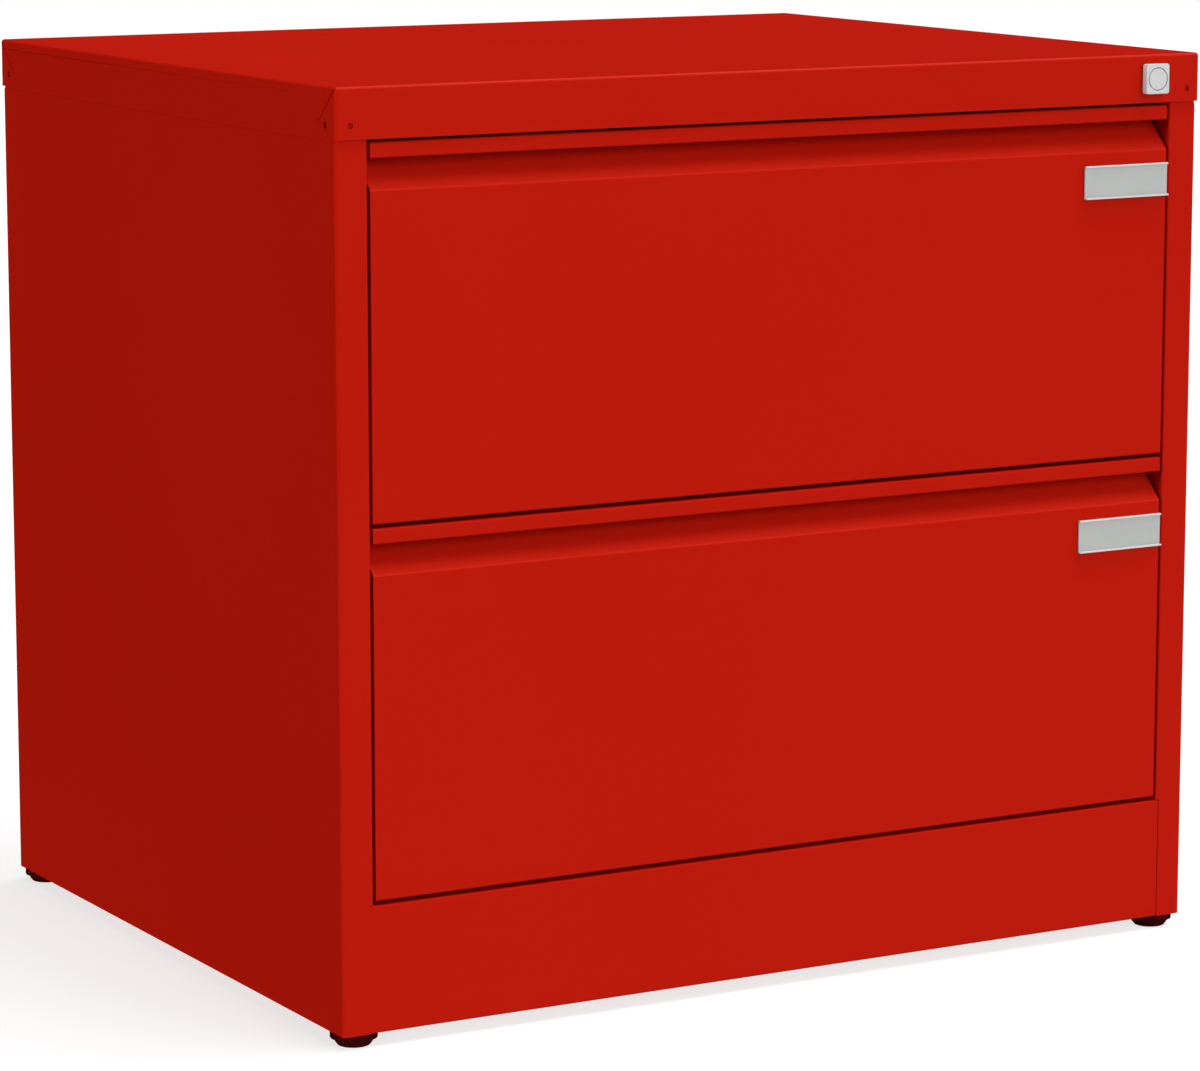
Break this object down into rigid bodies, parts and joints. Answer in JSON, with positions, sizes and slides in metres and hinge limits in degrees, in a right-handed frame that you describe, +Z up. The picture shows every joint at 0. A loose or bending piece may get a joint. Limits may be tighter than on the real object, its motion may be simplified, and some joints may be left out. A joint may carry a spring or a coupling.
{
  "type": "side filing cabinet",
  "caption": "Low side filing cabinet in folded sheet steel: wide drawers with full-width finger recesses run on telescopic slides, and a corner lock drops a bar behind them.",
  "frame": {"origin": "centre of the overall outline (cover and lock bezel included), on the floor under the feet", "axes": "+X towards the cabinet's right seen from the front, +Y from the drawer fronts towards the back, +Z up"},
  "size_m": [0.762, 0.628, 0.711],
  "materials": {
    "red_powder_coat": "smooth satin powder coat over folded sheet steel",
    "zinc_plated_steel": "bright zinc plating, rolled steel",
    "satin_aluminium": "satin extruded aluminium",
    "satin_nickel": "satin nickel plating on a die casting",
    "black_plastic": "moulded black plastic, slightly satin"
  },
  "bodies": {
    "root": {"top_cover": "red_powder_coat", "left_side_panel": "red_powder_coat", "right_side_panel": "red_powder_coat", "back_panel": "red_powder_coat", "base_pan": "red_powder_coat", "plinth": "red_powder_coat", "front_top_rail": "red_powder_coat", "middle_rail": "red_powder_coat", "left_front_upright": "zinc_plated_steel", "left_rear_upright": "zinc_plated_steel", "right_front_upright": "zinc_plated_steel", "right_rear_upright": "zinc_plated_steel", "left_front_foot": "black_plastic", "right_front_foot": "black_plastic", "left_rear_foot": "black_plastic", "right_rear_foot": "black_plastic", "upper_left_outer_slide": "zinc_plated_steel", "upper_right_outer_slide": "zinc_plated_steel", "lower_left_outer_slide": "zinc_plated_steel", "lower_right_outer_slide": "zinc_plated_steel", "lock_housing": "satin_nickel", "lock_nut": "zinc_plated_steel", "upper_lock_bar_guide": "zinc_plated_steel", "lower_lock_bar_guide": "zinc_plated_steel"},
    "upper_drawer": {"upper_drawer_front": "red_powder_coat", "upper_grip_channel": "red_powder_coat", "upper_front_liner": "red_powder_coat", "upper_drawer_left_side": "red_powder_coat", "upper_drawer_right_side": "red_powder_coat", "upper_drawer_base": "red_powder_coat", "upper_drawer_back": "red_powder_coat", "upper_centre_file_rail": "zinc_plated_steel", "upper_label_holder": "satin_aluminium", "upper_lock_catch": "zinc_plated_steel", "upper_left_inner_slide": "zinc_plated_steel", "upper_right_inner_slide": "zinc_plated_steel"},
    "lower_drawer": {"lower_drawer_front": "red_powder_coat", "lower_grip_channel": "red_powder_coat", "lower_front_liner": "red_powder_coat", "lower_drawer_left_side": "red_powder_coat", "lower_drawer_right_side": "red_powder_coat", "lower_drawer_base": "red_powder_coat", "lower_drawer_back": "red_powder_coat", "lower_centre_file_rail": "zinc_plated_steel", "lower_label_holder": "satin_aluminium", "lower_lock_catch": "zinc_plated_steel", "lower_left_inner_slide": "zinc_plated_steel", "lower_right_inner_slide": "zinc_plated_steel"},
    "lock_barrel": {"lock_barrel": "satin_nickel", "lock_cam": "zinc_plated_steel"},
    "lock_bar": {"lock_bar": "zinc_plated_steel"},
    "upper_left_slide_member": {"upper_left_middle_slide": "zinc_plated_steel"},
    "upper_right_slide_member": {"upper_right_middle_slide": "zinc_plated_steel"},
    "lower_left_slide_member": {"lower_left_middle_slide": "zinc_plated_steel"},
    "lower_right_slide_member": {"lower_right_middle_slide": "zinc_plated_steel"}
  },
  "joints": [
    {"name": "upper_drawer_slide", "type": "slide", "parent": "root", "child": "upper_drawer", "axis": [0, -1, 0], "range_m": [0, 0.5]},
    {"name": "lower_drawer_slide", "type": "slide", "parent": "root", "child": "lower_drawer", "axis": [0, -1, 0], "range_m": [0, 0.5]},
    {"name": "upper_left_slide_member_slide", "type": "slide", "parent": "root", "child": "upper_left_slide_member", "axis": [0, -1, 0], "range_m": [0, 0.25]},
    {"name": "upper_right_slide_member_slide", "type": "slide", "parent": "root", "child": "upper_right_slide_member", "axis": [0, -1, 0], "range_m": [0, 0.25]},
    {"name": "lower_left_slide_member_slide", "type": "slide", "parent": "root", "child": "lower_left_slide_member", "axis": [0, -1, 0], "range_m": [0, 0.25]},
    {"name": "lower_right_slide_member_slide", "type": "slide", "parent": "root", "child": "lower_right_slide_member", "axis": [0, -1, 0], "range_m": [0, 0.25]},
    {"name": "lock_bar_drop", "type": "slide", "parent": "root", "child": "lock_bar", "axis": [0, 0, -1], "range_m": [0, 0.01273]},
    {"name": "lock_turn", "type": "hinge", "parent": "root", "child": "lock_barrel", "pos_m": [0.337, -0.314, 0.6919], "axis": [0, 1, 0], "range_deg": [0, 90]}
  ],
  "couplings": [
    {"joint": "upper_left_slide_member_slide", "follows": "upper_drawer_slide", "ratio": 0.5},
    {"joint": "upper_right_slide_member_slide", "follows": "upper_drawer_slide", "ratio": 0.5},
    {"joint": "lower_left_slide_member_slide", "follows": "lower_drawer_slide", "ratio": 0.5},
    {"joint": "lower_right_slide_member_slide", "follows": "lower_drawer_slide", "ratio": 0.5},
    {"joint": "lock_turn", "follows": "lock_bar_drop", "rad_per_m": 123.39}
  ]
}
